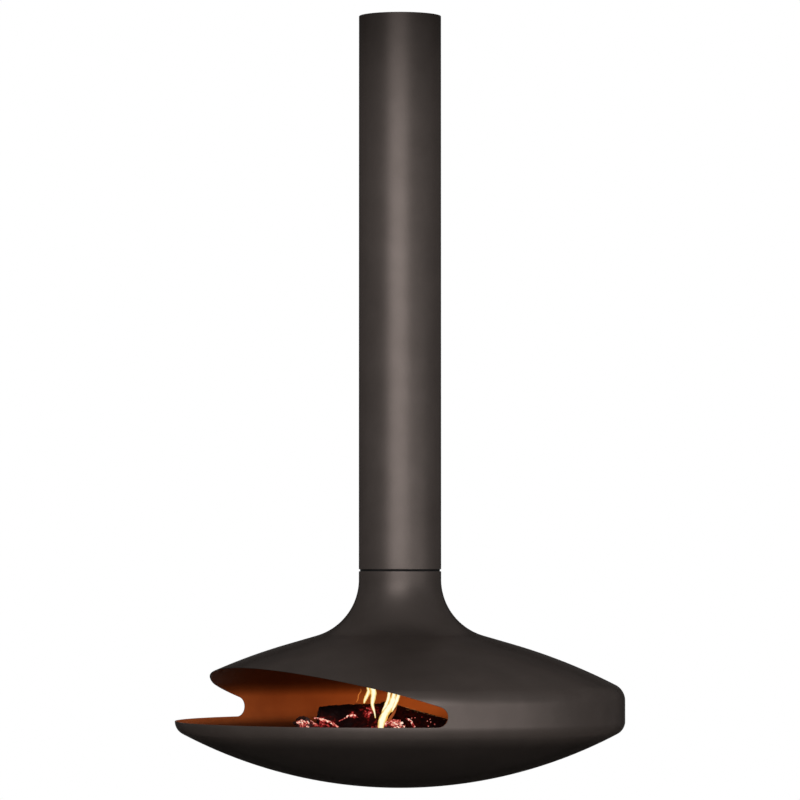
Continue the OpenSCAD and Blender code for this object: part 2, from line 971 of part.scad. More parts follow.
flue_casing();
hanger_ring();
weld_nuts();
flue_liner();
flue_lagging();
lagging_stop();
fixed_race();
ball_cage();
bearing_balls();
spigot();
carrier_ring();
clamp_ring();
clamp_screws();
seal_rope();
damper_collar();
smoke_shelf();
damper_bushes();
damper_spindle();
damper_flap();
flap_screws();
damper_lever();
lever_nut();
spindle_clip();
hood();
bowl();
grate_stand();
fire_grate();
ash_pan();
pan_handle();
ember_bed();
log_left();
log_right();
log_under();
log_back();
log_front();
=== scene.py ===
import json
import math
import random

import bmesh
import bpy
import numpy as np
from mathutils import Euler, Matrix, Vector, noise


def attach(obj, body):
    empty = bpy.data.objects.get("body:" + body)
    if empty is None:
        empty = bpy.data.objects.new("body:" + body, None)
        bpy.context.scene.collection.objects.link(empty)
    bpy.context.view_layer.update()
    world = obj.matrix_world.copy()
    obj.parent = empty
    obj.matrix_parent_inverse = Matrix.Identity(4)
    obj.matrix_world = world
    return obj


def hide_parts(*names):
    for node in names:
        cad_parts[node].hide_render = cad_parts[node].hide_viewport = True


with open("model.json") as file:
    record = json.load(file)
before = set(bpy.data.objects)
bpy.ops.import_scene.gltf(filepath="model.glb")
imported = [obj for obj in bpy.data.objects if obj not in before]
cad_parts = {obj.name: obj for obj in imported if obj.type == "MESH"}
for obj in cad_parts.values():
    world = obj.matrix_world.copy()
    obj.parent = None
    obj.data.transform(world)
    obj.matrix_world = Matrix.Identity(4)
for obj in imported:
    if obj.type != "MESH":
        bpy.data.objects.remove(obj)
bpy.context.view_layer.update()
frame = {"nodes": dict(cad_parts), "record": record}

nodes = frame["nodes"]
scene = bpy.context.scene
print("frame loaded:", len(nodes), "nodes")

# Camera: metres, in the same frame as the part. The lens keeps the long view of the photograph.
camera = {"spot": (12.04, -6.59, -1.544), "lookAt": (0.0, 0.0, -1.0715), "lens": 222.0, "sensor": 36.0,
          "far": 200.0}

# Studio: a tall light near the camera's side, a low wide one to its right, a soft one overhead, and an even room.
studio = {
    "room": 0.11, "roomTone": (1.0, 0.975, 0.95, 1), "backdrop": 1.0,
    "tall": {"azimuth": 56.0, "away": 5.0, "height": -0.65, "size": (4.4, 2.1), "watts": 415.0, "aim": -1.0},
    "low": {"azimuth": 104.0, "away": 4.5, "height": -1.85, "size": (4.8, 0.7), "watts": 95.0, "aim": -1.92},
    "top": {"azimuth": 59.0, "away": 0.8, "height": 2.0, "size": (3.0, 3.0), "watts": 80.0, "aim": -1.9,
            "tone": (1.0, 0.84, 0.68)},
}


def around(azimuth, away, height):
    a = math.radians(azimuth)
    return Vector((away * math.sin(a), -away * math.cos(a), height))


def pointAt(thing, spot, target):
    thing.location = spot
    thing.rotation_euler = (Vector(target) - Vector(spot)).to_track_quat("-Z", "Y").to_euler()


camData = bpy.data.cameras.new("photoCamera")
camData.lens, camData.sensor_width = camera["lens"], camera["sensor"]
camData.clip_end = camera["far"]
cam = bpy.data.objects.new("photoCamera", camData)
scene.collection.objects.link(cam)
pointAt(cam, Vector(camera["spot"]), camera["lookAt"])
scene.camera = cam
scene.view_settings.view_transform = "Standard"


def areaLight(name, look):
    data = bpy.data.lights.new(name, "AREA")
    data.shape, data.size, data.size_y = "RECTANGLE", look["size"][0], look["size"][1]
    data.energy, data.color = look["watts"], look.get("tone", (1, 1, 1))
    lamp = bpy.data.objects.new(name, data)
    scene.collection.objects.link(lamp)
    pointAt(lamp, around(look["azimuth"], look["away"], look["height"]), (0, 0, look["aim"]))
    return lamp


areaLight("tallLight", studio["tall"])
areaLight("lowLight", studio["low"])
areaLight("topLight", studio["top"]).visible_glossy = False

world = bpy.data.worlds.new("studioRoom")
scene.world = world
world.use_nodes = True
wt = world.node_tree
wt.nodes.clear()


def node(tree, kind, **settings):
    # a setting is one of the node's inputs or, failing that, one of its properties
    made = tree.nodes.new(kind)
    for key, value in settings.items():
        if key in made.inputs:
            made.inputs[key].default_value = value
        else:
            setattr(made, key, value)
    return made


def seenDirectly(tree):
    path = node(tree, "ShaderNodeLightPath")
    first = node(tree, "ShaderNodeMath", operation="MAXIMUM")
    second = node(tree, "ShaderNodeMath", operation="MAXIMUM")
    tree.links.new(path.outputs["Is Camera Ray"], first.inputs[0])
    tree.links.new(path.outputs["Is Glossy Ray"], first.inputs[1])
    tree.links.new(path.outputs["Is Transmission Ray"], second.inputs[0])
    tree.links.new(first.outputs[0], second.inputs[1])
    return second.outputs[0]


roomShade = node(wt, "ShaderNodeBackground", Color=studio["roomTone"], Strength=studio["room"])
whiteShade = node(wt, "ShaderNodeBackground", Color=(1, 1, 1, 1), Strength=studio["backdrop"])
roomMix = node(wt, "ShaderNodeMixShader")
wt.links.new(seenDirectly(wt), roomMix.inputs["Fac"])
wt.links.new(roomShade.outputs[0], roomMix.inputs[1])
wt.links.new(whiteShade.outputs[0], roomMix.inputs[2])
wt.links.new(roomMix.outputs[0], node(wt, "ShaderNodeOutputWorld").inputs["Surface"])


def makeObject(name, verts, faces, smooth=True):
    mesh = bpy.data.meshes.new(name)
    mesh.from_pydata([tuple(v) for v in verts], [], [tuple(f) for f in faces])
    mesh.update()
    mesh.polygons.foreach_set("use_smooth", [smooth] * len(mesh.polygons))
    thing = bpy.data.objects.new(name, mesh)
    scene.collection.objects.link(thing)
    return thing


def ringAt(r, z, count):
    turns = [2 * math.pi * k / count for k in range(count)]
    return [(r * math.cos(a), r * math.sin(a), z) for a in turns]


# The floor is a plain pale disc that fades into the white room, seen from above only.
ground = {"z": -2.49, "radius": 8.0, "rings": 24, "spokes": 96, "fadeFrom": 2.8, "fadeTo": 6.0,
          "tone": (0.64, 0.63, 0.62, 1), "rough": 0.7}
rings, spokes = ground["rings"], ground["spokes"]
floorVerts = [(0, 0, ground["z"])]
for i in range(1, rings + 1):
    floorVerts += ringAt(ground["radius"] * i / rings, ground["z"], spokes)
floorFaces = [(0, 1 + k, 1 + (k + 1) % spokes) for k in range(spokes)]
for i in range(rings - 1):
    a, b = 1 + i * spokes, 1 + (i + 1) * spokes
    floorFaces += [(a + k, b + k, b + (k + 1) % spokes, a + (k + 1) % spokes) for k in range(spokes)]
floor = makeObject("studioFloor", floorVerts, floorFaces)
floorMat = bpy.data.materials.new("paleFloor")
floorMat.use_nodes = True
ft = floorMat.node_tree
ft.nodes.clear()
floorPaint = node(ft, "ShaderNodeBsdfPrincipled", Roughness=ground["rough"])
floorPaint.inputs["Base Color"].default_value = ground["tone"]
spot = node(ft, "ShaderNodeNewGeometry")
flat = node(ft, "ShaderNodeVectorMath", operation="MULTIPLY")
flat.inputs[1].default_value = (1, 1, 0)
far = node(ft, "ShaderNodeVectorMath", operation="LENGTH")
fade = node(ft, "ShaderNodeMapRange", interpolation_type="SMOOTHSTEP")
fade.inputs["From Min"].default_value = ground["fadeFrom"]
fade.inputs["From Max"].default_value = ground["fadeTo"]
clear = node(ft, "ShaderNodeBsdfTransparent")
fadeMix, backMix = node(ft, "ShaderNodeMixShader"), node(ft, "ShaderNodeMixShader")
ft.links.new(spot.outputs["Position"], flat.inputs[0])
ft.links.new(flat.outputs[0], far.inputs[0])
ft.links.new(far.outputs["Value"], fade.inputs["Value"])
ft.links.new(fade.outputs["Result"], fadeMix.inputs["Fac"])
ft.links.new(floorPaint.outputs[0], fadeMix.inputs[1])
ft.links.new(clear.outputs[0], fadeMix.inputs[2])
ft.links.new(spot.outputs["Backfacing"], backMix.inputs["Fac"])
ft.links.new(fadeMix.outputs[0], backMix.inputs[1])
ft.links.new(clear.outputs[0], backMix.inputs[2])
ft.links.new(backMix.outputs[0], node(ft, "ShaderNodeOutputMaterial").inputs["Surface"])
floor.data.materials.append(floorMat)
print("studio ready")


# Materials: each has two tones mixed by noise, a roughness that varies, and a bump.
def startMaterial(name):
    mat = bpy.data.materials.new(name)
    mat.use_nodes = True
    tree = mat.node_tree
    tree.nodes.clear()
    shader = node(tree, "ShaderNodeBsdfPrincipled")
    tree.links.new(shader.outputs[0], node(tree, "ShaderNodeOutputMaterial").inputs["Surface"])
    place = node(tree, "ShaderNodeTexCoord").outputs["Object"]
    return mat, tree, shader, place


def cloud(tree, place, scale, detail=3.0, rough=0.55, stretch=None):
    if stretch:
        spread = node(tree, "ShaderNodeMapping", Scale=stretch)
        tree.links.new(place, spread.inputs["Vector"])
        place = spread.outputs[0]
    tex = node(tree, "ShaderNodeTexNoise", Scale=scale, Detail=detail, Roughness=rough)
    tree.links.new(place, tex.inputs["Vector"])
    return tex.outputs["Fac"]


def ramp(tree, value, stops):
    made = node(tree, "ShaderNodeValToRGB")
    band = made.color_ramp
    while len(band.elements) < len(stops):
        band.elements.new(0.5)
    for element, (at, colour) in zip(band.elements, stops):
        element.position = at
        element.color = (*colour, 1)
    tree.links.new(value, made.inputs["Fac"])
    return made.outputs["Color"]


def span(tree, value, low, high, fromLow=0.3, fromHigh=0.7):
    made = node(tree, "ShaderNodeMapRange")
    made.inputs["From Min"].default_value, made.inputs["From Max"].default_value = fromLow, fromHigh
    made.inputs["To Min"].default_value, made.inputs["To Max"].default_value = low, high
    tree.links.new(value, made.inputs["Value"])
    return made.outputs["Result"]


def bump(tree, shader, height, strength, depth):
    made = node(tree, "ShaderNodeBump", Strength=strength, Distance=depth)
    tree.links.new(height, made.inputs["Height"])
    tree.links.new(made.outputs["Normal"], shader.inputs["Normal"])


def paintedShadeByHeight(tree, place, colour, shadeLevels):
    # paints shade by height: deepens a colour between heights, and a share above 1 paints light; each pair is a height
    # in metres and a share of the colour
    low, high = shadeLevels[0][0], shadeLevels[-1][0]
    parts = node(tree, "ShaderNodeSeparateXYZ")
    tree.links.new(place, parts.inputs[0])
    share = span(tree, parts.outputs["Z"], 0.0, 1.0, low, high)
    tone = ramp(tree, share, [((z - low) / (high - low), (part, part, part)) for z, part in shadeLevels])
    mixed = node(tree, "ShaderNodeMix", data_type="RGBA", blend_type="MULTIPLY", Factor=1.0)
    tree.links.new(colour, mixed.inputs["A"])
    tree.links.new(tone, mixed.inputs["B"])
    return mixed.outputs["Result"]


def finishMaterial(name, look):
    mat, tree, shader, place = startMaterial(name)
    tone = cloud(tree, place, look["patch"], 5, stretch=look.get("stretch"))
    colour = ramp(tree, tone, [(0.3, look["dark"]), (0.7, look["light"])])
    if "shadeLevels" in look:
        colour = paintedShadeByHeight(tree, place, colour, look["shadeLevels"])
    tree.links.new(colour, shader.inputs["Base Color"])
    grain = cloud(tree, place, look["grain"], 2, stretch=look.get("stretch"))
    tree.links.new(span(tree, grain, *look["rough"]), shader.inputs["Roughness"])
    bump(tree, shader, grain, look["bumps"], look["depth"])
    shader.inputs["Metallic"].default_value = look.get("metal", 0.0)
    shader.inputs["Specular IOR Level"].default_value = look.get("gloss", 0.5)
    if "edge" in look:
        # tames the sheen at grazing angles, so that the paint stays even and dark up to its outline
        facing = node(tree, "ShaderNodeLayerWeight").outputs["Facing"]
        sheen = ramp(tree, facing, [(at, (tint, tint, tint)) for at, tint in look["edge"]])
        tree.links.new(sheen, shader.inputs["Specular Tint"])
    return mat


# High-temperature paint: dark warm grey with a metallic flake and a fine powdery grain.
hearthPaint = finishMaterial("hearthPaint", {
    "dark": (0.0348, 0.0288, 0.0263), "light": (0.0414, 0.0344, 0.0315), "patch": 9.0, "grain": 750.0,
    "rough": (0.43, 0.49), "bumps": 0.16, "depth": 0.0003, "metal": 0.72, "gloss": 0.0,
    "edge": [(0.0, 0.42), (0.45, 0.42), (0.52, 0.45), (0.64, 0.45), (0.70, 0.42), (0.724, 0.40), (0.76, 0.35),
             (0.80, 0.27), (0.857, 0.06), (0.88, 0.0)],
    # painted shade by height: darker under the bowl, round the neck and towards the flue's top, with a painted
    # highlight on the rim's rounded corner
    "shadeLevels": [(-2.148, 0.54), (-2.02, 0.56), (-1.998, 1.1), (-1.975, 1.05), (-1.88, 1.0), (-1.82, 0.88),
               (-1.69, 0.80), (-1.6, 0.85), (-1.555, 0.90), (-1.545, 1.0), (-0.6, 1.03), (-0.43, 0.99), (-0.29, 0.91),
               (-0.15, 0.71), (0.0, 0.43)]})

# Heat-tinted finish inside the hearth, at its full tone on the band round the fire, with painted shade darkening it
# under the crown and down in the bowl.
innerFinish = finishMaterial("innerFinish", {
    "dark": (0.23, 0.054, 0.013), "light": (0.31, 0.078, 0.020), "patch": 7.0, "grain": 420.0,
    "rough": (0.65, 0.8), "bumps": 0.2, "depth": 0.0004, "metal": 0.0, "gloss": 0.08,
    # painted shade by height: dark down in the bowl, full tone on the band, dark again under the crown
    "shadeLevels": [(-1.997, 0.12), (-1.985, 0.2), (-1.974, 0.52), (-1.963, 0.85), (-1.945, 1.0), (-1.908, 1.0),
               (-1.896, 0.68), (-1.885, 0.38), (-1.873, 0.26), (-1.79, 0.18)]})
print("paints ready")


# Hood and bowl: the outline comes from the same arcs as the part's source, in metres, measured from the rim.
# An arc is its centre's distance from the axis, its centre's height and its radius.
hearth = {
    "onAxis": 1e-5,
    "radius": 0.625, "rimZ": -1.963, "neckR": 0.1145, "neckH": 0.415,
    "shoulder": (0.577, 0.057, 0.048), "crown": (-0.138808, -1.347064, 1.624), "flare": (0.277, 0.3925, 0.1625),
    "shoulderAngle": 62.99, "slope": 16.1992,
    "corner": (0.5855, 0.0, 0.0395), "dishZ": 1.1052921, "dishR": 1.2902921,
    "band": (0.0, 0.02, 0.04), "neckLip": 0.004, "edge": 0.0008,
    "skin": 0.0023, "liningFrom": 0.00235, "liningTo": 0.003, "segments": 288, "shadeReach": 0.00025,
    "mouthEnd": (0.209, 0.028, 0.028), "mouthTilt": 18.7, "mouthReach": 0.75, "mouthHalf": 0.8, "mouthUnder": -0.03,
}
hearth["dishAngle"] = -math.degrees(math.atan2(hearth["dishZ"], hearth["corner"][0]))


def arcPoints(centre, radius, start, stop, count):
    turns = [math.radians(start + (stop - start) * i / count) for i in range(count + 1)]
    return [(centre[0] + radius * math.cos(a), centre[1] + radius * math.sin(a)) for a in turns]


def joined(*runs):
    line = []
    for run in runs:
        for p in run:
            if not line or math.dist(line[-1], p) > 1e-6:
                line.append(p)
    return line


def hoodLine(inset):
    # only the outer line goes on round the lip
    h = hearth
    lip = h["edge"]
    return joined(
        [(h["radius"] - inset, z) for z in h["band"]],
        arcPoints(h["shoulder"], h["shoulder"][2] - inset, 0, h["shoulderAngle"], 18),
        arcPoints(h["crown"], h["crown"][2] - inset, h["shoulderAngle"], 90 - h["slope"], 16),
        arcPoints(h["flare"], h["flare"][2] + inset, 270 - h["slope"], 180, 26),
        [(h["neckR"] - inset, h["neckH"] - h["neckLip"])],
        arcPoints((h["neckR"] - inset - lip, h["neckH"] - lip), lip, 0, 90 if inset == 0 else 10, 5))


def bowlLine(inset):
    h = hearth
    return joined(
        arcPoints(h["corner"], h["corner"][2] - inset, 0, h["dishAngle"], 20),
        arcPoints((0, h["dishZ"]), h["dishR"] - inset, h["dishAngle"], -90, 30))


def spin(name, outer, inner, segments, z0):
    loop = outer + inner[::-1]
    verts, faces, rows = [], [], []
    for r, h in loop:
        if r < hearth["onAxis"]:
            rows.append([len(verts)] * segments)
            verts.append((0, 0, z0 + h))
        else:
            rows.append(list(range(len(verts), len(verts) + segments)))
            verts += ringAt(r, z0 + h, segments)
    for i in range(len(loop)):
        a, b = rows[i], rows[(i + 1) % len(loop)]
        for k in range(segments):
            face = [a[k], a[(k + 1) % segments], b[(k + 1) % segments], b[k]]
            face = [v for n, v in enumerate(face) if v != face[n - 1]]
            if len(face) > 2:
                faces.append(face)
    return makeObject(name, verts, faces)


def lineNormals(thing, lines, z0):
    # smooth shading from the drawn outline, so that cut edges stay crisp
    mesh = thing.data
    table = []
    for line, side in lines:
        pts = np.array(line)
        steps = np.diff(pts, axis=0)
        slopes = np.stack([steps[:, 1], -steps[:, 0]], 1)
        slopes /= np.linalg.norm(slopes, axis=1)[:, None]
        at = np.vstack([slopes[:1], (slopes[1:] + slopes[:-1]) / 2, slopes[-1:]])
        at /= np.linalg.norm(at, axis=1)[:, None]
        table.append((pts, at * side))
    count = len(mesh.vertices)
    co = np.zeros(count * 3)
    mesh.vertices.foreach_get("co", co)
    co = co.reshape(-1, 3)
    flat = np.stack([np.hypot(co[:, 0], co[:, 1]), co[:, 2] - z0], 1)
    best = [np.full(count, np.inf) for _ in table]
    normal = [np.zeros((count, 2)) for _ in table]
    for n, (pts, at) in enumerate(table):
        for i in range(len(pts) - 1):
            a, d = pts[i], pts[i + 1] - pts[i]
            t = np.clip(((flat - a) @ d) / (d @ d), 0, 1)
            gap = np.linalg.norm(flat - a - t[:, None] * d, axis=1)
            near = gap < best[n]
            best[n][near] = gap[near]
            normal[n][near] = (at[i] + t[near, None] * (at[i + 1] - at[i]))
    out = []
    for poly in mesh.polygons:
        pick = None
        for n in range(len(table)):
            if all(best[n][v] < hearth["shadeReach"] for v in poly.vertices):
                pick = n
        for v in poly.vertices:
            if pick is None:
                out.append(tuple(poly.normal))
            else:
                r = max(flat[v][0], 1e-6)
                nr, nz = normal[pick][v]
                if flat[v][0] < hearth["onAxis"]:
                    out.append((0, 0, math.copysign(1, nz)))
                else:
                    full = Vector((nr * co[v][0] / r, nr * co[v][1] / r, nz)).normalized()
                    out.append(tuple(full))
    mesh.normals_split_custom_set(out)


def mouthTool():
    cx, cz, r = hearth["mouthEnd"]
    tilt, reach = math.radians(hearth["mouthTilt"]), hearth["mouthReach"]
    line = arcPoints((cx, cz), r, 90 + hearth["mouthTilt"], 270, 40)
    top = line[0]
    under, half = hearth["mouthUnder"], hearth["mouthHalf"]
    line += [(cx, under), (reach, under), (reach, top[1] + (reach - top[0]) * math.tan(tilt))]
    n = len(line)
    verts = [(x, -f, hearth["rimZ"] + h) for x in (-half, half) for f, h in line]
    faces = [tuple(range(n)), tuple(range(2 * n - 1, n - 1, -1))]
    faces += [(k, n + k, n + (k + 1) % n, (k + 1) % n) for k in range(n)]
    return makeObject("mouthTool", verts, faces, smooth=False)


def applied(thing):
    # turns the thing's modifiers into plain mesh
    bpy.context.view_layer.update()
    graph = bpy.context.evaluated_depsgraph_get()
    mesh = bpy.data.meshes.new_from_object(thing.evaluated_get(graph))
    thing.modifiers.clear()
    thing.data = mesh
    return thing


def cutBy(thing, tool):
    cut = thing.modifiers.new("mouth", "BOOLEAN")
    cut.object, cut.operation, cut.solver = tool, "DIFFERENCE", "EXACT"
    return applied(thing)


def setSlot(thing, body, slot, material, *stands):
    thing.data.materials.clear()
    thing.data.materials.append(material)
    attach(thing, body)
    if stands:
        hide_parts(*stands)


tool = mouthTool()
layers = (("Skin", 0.0, hearth["skin"], "hearth_paint", hearthPaint),
          ("Lining", hearth["liningFrom"], hearth["liningTo"], "inner_finish", innerFinish))
for name, line in (("hood", hoodLine), ("bowl", bowlLine)):
    for layer, low, high, slot, paint in layers:
        outer, inner = line(low), line(high)
        piece = spin(name + layer, outer, inner, hearth["segments"], hearth["rimZ"])
        if name == "hood":
            cutBy(piece, tool)
        lineNormals(piece, ((outer, 1), (inner, -1)), hearth["rimZ"])
        setSlot(piece, "hearth", slot, paint, name)
bpy.data.objects.remove(tool)
print("hood and bowl ready")

# Flue casing: a plain tube from the ceiling to the turning joint.
casing = {"outer": 0.1145, "inner": 0.1115, "bottom": -1.5425, "rows": 12, "segments": 256,
          "edge": 0.0004, "lip": 0.0006, "lipTop": 0.004}
outerR, bottom, rows, lip = casing["outer"], casing["bottom"], casing["rows"], casing["lip"]
wall = arcPoints((outerR - lip, bottom + lip), lip, -90, 0, 5) + [(outerR, bottom + casing["lipTop"])]
wall += [(outerR, bottom * (1 - k / rows)) for k in range(1, rows)] + [(outerR, -casing["edge"])]
outerWall = wall + [(outerR - casing["edge"], 0.0)]
innerWall = [(casing["inner"], z) for z in (bottom, bottom * 0.5, 0.0)]
tube = spin("casingTube", outerWall, innerWall, casing["segments"], 0.0)
lineNormals(tube, ((wall, 1), (innerWall, -1)), 0.0)
setSlot(tube, "flue", "hearth_paint", hearthPaint, "flue_casing")
print("casing ready")

# The fire: hot spots are points of the bed in metres, each with its reach and its heat from 0 to 1.
hotSpots = [
    ((-0.085, -0.284, -0.016), 0.018, 0.95), ((-0.048, -0.278, -0.010), 0.018, 0.9),
    ((-0.050, -0.243, -0.003), 0.018, 1.0), ((-0.041, -0.224, -0.002), 0.018, 0.8),
    ((-0.026, -0.204, -0.010), 0.020, 0.9), ((0.000, -0.185, -0.016), 0.020, 0.7),
    ((0.048, -0.060, -0.006), 0.024, 0.95), ((0.055, -0.037, -0.003), 0.022, 1.0),
    ((0.062, -0.017, -0.002), 0.020, 1.0), ((0.068, -0.002, -0.008), 0.018, 0.95),
    ((0.085, 0.010, -0.018), 0.022, 0.7), ((0.110, 0.045, -0.024), 0.022, 0.7),
    ((0.004, -0.097, 0.026), 0.028, 0.56), ((-0.012, -0.143, 0.018), 0.010, 0.9),
    ((0.040, -0.110, -0.030), 0.045, 0.75), ((-0.090, -0.080, -0.030), 0.060, 0.6),
    ((-0.020, 0.060, -0.030), 0.080, 0.6), ((0.030, 0.130, -0.035), 0.060, 0.55),
]


def heatAt(place):
    total = 0.0
    for at, reach, heat in hotSpots:
        total = max(total, heat * math.exp(-((Vector(at) - place).length / reach) ** 2))
    return total


def cell(place, size):
    # 0 in the cracks between cells of that size, and 1 inside them
    gaps = noise.voronoi(place / size)[0]
    return min(1.0, (gaps[1] - gaps[0]) * 2.2)


def setValues(thing, name, values):
    layer = thing.data.attributes.new(name, "FLOAT", "POINT")
    layer.data.foreach_set("value", values)


# Logs: charred wood, split along the grain and crossed by cracks, on the same swell as the solids. The axes and the
# radii are in millimetres.
logs = {
    "log_left": {"from": (-83, -214, -4), "to": (-8, -32, 8), "r": (40, 40), "warm": 1.0, "grow": 10.0, "seed": 1},
    "log_right": {"from": (-113, 2, 17), "to": (109, 111, -28), "r": (38, 29), "warm": 0.42, "grow": 3.6, "seed": 2},
    "log_under": {"from": (-115, -85, -41), "to": (-103, 79, -41), "r": (20, 20), "warm": 0.7, "grow": 2.0,
                  "seed": 3},
    "log_back": {"from": (-129, 139, -28), "to": (39, 195, -30), "r": (31.2, 29.6), "warm": 0.6, "grow": 2.0,
                 "seed": 4},
    "log_front": {"from": (15, -195, -43), "to": (72, -70, -44), "r": (16.8, 14.4), "warm": 0.8, "grow": 2.0,
                  "seed": 5},
}
logShape = {"rows": 84, "sides": 84, "tilt": 5, "crackSize": 0.017, "crackDepth": 0.0034,
            "scaleSize": 0.0062, "scaleDepth": 0.0011, "swellDepth": 0.0022, "grainStretch": 0.55,
            "endRound": 7.0, "endDrop": 0.10, "endR": 0.88, "endSteps": (0.8, 0.6, 0.4, 0.2), "endSink": 1.4,
            "ringPitch": 2.6, "ringDepth": 0.5, "splitDepth": 3.2, "hubSink": 1.5}


def bark(a, t, k):
    # how the radius swells round and along a log, as in the part's source
    lobes = 1 + 0.05 * math.cos(3 * a + math.radians(47 * k)) + 0.04 * math.sin(2 * a + math.radians(160 * t + 90 * k))
    return lobes - 0.05 * abs(2 * t - 1) ** 6


def logRadius(look, a, t):
    return (look["r"][0] + (look["r"][1] - look["r"][0]) * t) * bark(a, t, look["seed"]) / 1.06


def makeLog(name, look):
    start, stop = Vector(look["from"]), Vector(look["to"])
    along = stop - start
    length = along.length
    lean, turn = math.acos(along.z / length), math.atan2(along.y, along.x)
    s = logShape
    k, rows, sides = look["seed"], s["rows"], s["sides"]
    verts, heat, ash = [], [], []

    def put(local, deep, pale):
        x, y, z = local
        x, z = x * math.cos(lean) + z * math.sin(lean), -x * math.sin(lean) + z * math.cos(lean)
        x, y = x * math.cos(turn) - y * math.sin(turn), x * math.sin(turn) + y * math.cos(turn)
        spot = (Vector((x, y, z)) + start) / 1000
        verts.append(spot + Vector((0, 0, hearth["rimZ"])))
        warm = heatAt(spot) * look["warm"]
        heat.append(min(1.0, warm * (0.35 + 0.9 * deep) + 0.25 * warm * noise.noise(spot * 140)))
        ash.append(pale)

    for i in range(rows):
        t = i / (rows - 1)
        for j in range(sides):
            a = 2 * math.pi * j / sides
            # a = pi is the log's upper side, which stands proudest
            r = logRadius(look, a, t) + look["grow"] * (0.6 - 0.4 * math.cos(a))
            z = t * length + s["tilt"] * math.sin(a + math.radians(80 * k)) * (2 * t - 1)
            grainPlace = Vector((r * math.cos(a) / 1000, r * math.sin(a) / 1000,
                                 z / 1000 * s["grainStretch"] + k * 3))
            cracks = 1 - cell(grainPlace, s["crackSize"])
            scales = 1 - cell(grainPlace + Vector((5, 1, 2)), s["scaleSize"])
            swell = 0.5 + 0.5 * noise.noise(grainPlace * 26)
            deep = cracks ** 2
            cut = 1000 * (s["crackDepth"] * deep + s["scaleDepth"] * scales ** 2 + s["swellDepth"] * swell)
            edge = min(1.0, min(t, 1 - t) * length / s["endRound"])
            r = (r - cut) * (1 - s["endDrop"] + s["endDrop"] * math.sqrt(max(0.0, 1 - (1 - edge) ** 2)))
            pale = max(0.0, noise.noise(grainPlace * 60 + Vector((9, 9, 9)))) * (1 - deep) * (0.5 + 0.5 * scales)
            put((r * math.cos(a), r * math.sin(a), z), deep, pale)
    ends, faces = [], []
    for end in (0, 1):
        ring = [end * (rows - 1) * sides + j for j in range(sides)]
        z0 = end * length
        for step in s["endSteps"]:
            fresh = []
            for j in range(sides):
                a = 2 * math.pi * j / sides
                r = logRadius(look, a, end) * s["endR"] * step
                growth = math.sin(r * s["ringPitch"] + 2 * noise.noise(Vector((math.cos(a), math.sin(a), k)) * 1.5))
                split = max(0.0, 1 - abs(((a * 3 / math.pi + k * 0.7) % 1.0) - 0.5) * 9) * step
                inward = s["ringDepth"] * growth + s["splitDepth"] * split + s["endSink"]
                inward *= 1 if end == 0 else -1
                z = z0 + s["tilt"] * math.sin(a + math.radians(80 * k)) * (2 * end - 1) * step + inward
                fresh.append(len(verts))
                put((r * math.cos(a), r * math.sin(a), z), split, 0.3 * max(0.0, growth))
            ends.append((ring, fresh, end))
            ring = fresh
        hub = len(verts)
        put((0, 0, z0 + s["hubSink"] * (1 if end == 0 else -1)), 0.3, 0.1)
        for j in range(sides):
            face = (ring[j], ring[(j + 1) % sides], hub)
            faces.append(face if end == 1 else face[::-1])
    for i in range(rows - 1):
        for j in range(sides):
            a, b = i * sides + j, i * sides + (j + 1) % sides
            faces.append((a, b, b + sides, a + sides))
    for ring, fresh, end in ends:
        for j in range(sides):
            n = (j + 1) % sides
            face = (ring[j], ring[n], fresh[n], fresh[j])
            faces.append(face if end == 1 else face[::-1])
    thing = makeObject(name + "Char", verts, faces)
    setValues(thing, "glowing", heat)
    setValues(thing, "ash", ash)
    return thing


def fireMaterial(name, look):
    mat, tree, shader, place = startMaterial(name)
    tone = cloud(tree, place, look["patch"], 6, 0.6)
    base = ramp(tree, tone, [(0.3, look["dark"]), (0.62, look["light"])])
    ashLayer = node(tree, "ShaderNodeAttribute", attribute_name="ash")
    powder = node(tree, "ShaderNodeMix", data_type="RGBA")
    tree.links.new(span(tree, ashLayer.outputs["Fac"], 0.0, look["ash"], 0.05, 0.5), powder.inputs["Factor"])
    tree.links.new(base, powder.inputs["A"])
    powder.inputs["B"].default_value = (*look["ashTone"], 1)
    tree.links.new(powder.outputs["Result"], shader.inputs["Base Color"])
    heatLayer = node(tree, "ShaderNodeAttribute", attribute_name="glowing")
    flicker = node(tree, "ShaderNodeMath", operation="MULTIPLY")
    tree.links.new(heatLayer.outputs["Fac"], flicker.inputs[0])
    tree.links.new(span(tree, cloud(tree, place, look["flicker"], 3, 0.6), 0.35, 1.35, 0.38, 0.62), flicker.inputs[1])
    tree.links.new(ramp(tree, flicker.outputs[0], look["glow"]), shader.inputs["Emission Color"])
    shader.inputs["Emission Strength"].default_value = look["strength"]
    grain = cloud(tree, place, look["grain"], 5, 0.65)
    tree.links.new(span(tree, grain, 0.62, 0.95), shader.inputs["Roughness"])
    bump(tree, shader, grain, look["bumps"], look["depth"])
    shader.inputs["Specular IOR Level"].default_value = look["gloss"]
    return mat


emberGlow = [(0.0, (0, 0, 0)), (0.22, (0.02, 0.001, 0.0)), (0.40, (0.20, 0.008, 0.008)), (0.58, (0.52, 0.045, 0.040)),
             (0.76, (0.90, 0.32, 0.24)), (0.95, (1.0, 0.76, 0.60))]
charMat = fireMaterial("charredWood", {
    "dark": (0.003, 0.0012, 0.0014), "light": (0.0065, 0.0026, 0.0028), "patch": 38.0, "ash": 0.05,
    "ashTone": (0.08, 0.06, 0.06), "gloss": 0.02,
    "grain": 420.0, "bumps": 0.7, "depth": 0.0012, "flicker": 120.0, "glow": emberGlow, "strength": 1.0})
for name, look in logs.items():
    setSlot(makeLog(name, look), "hearth", "charred_wood", charMat, name)
print("logs ready")

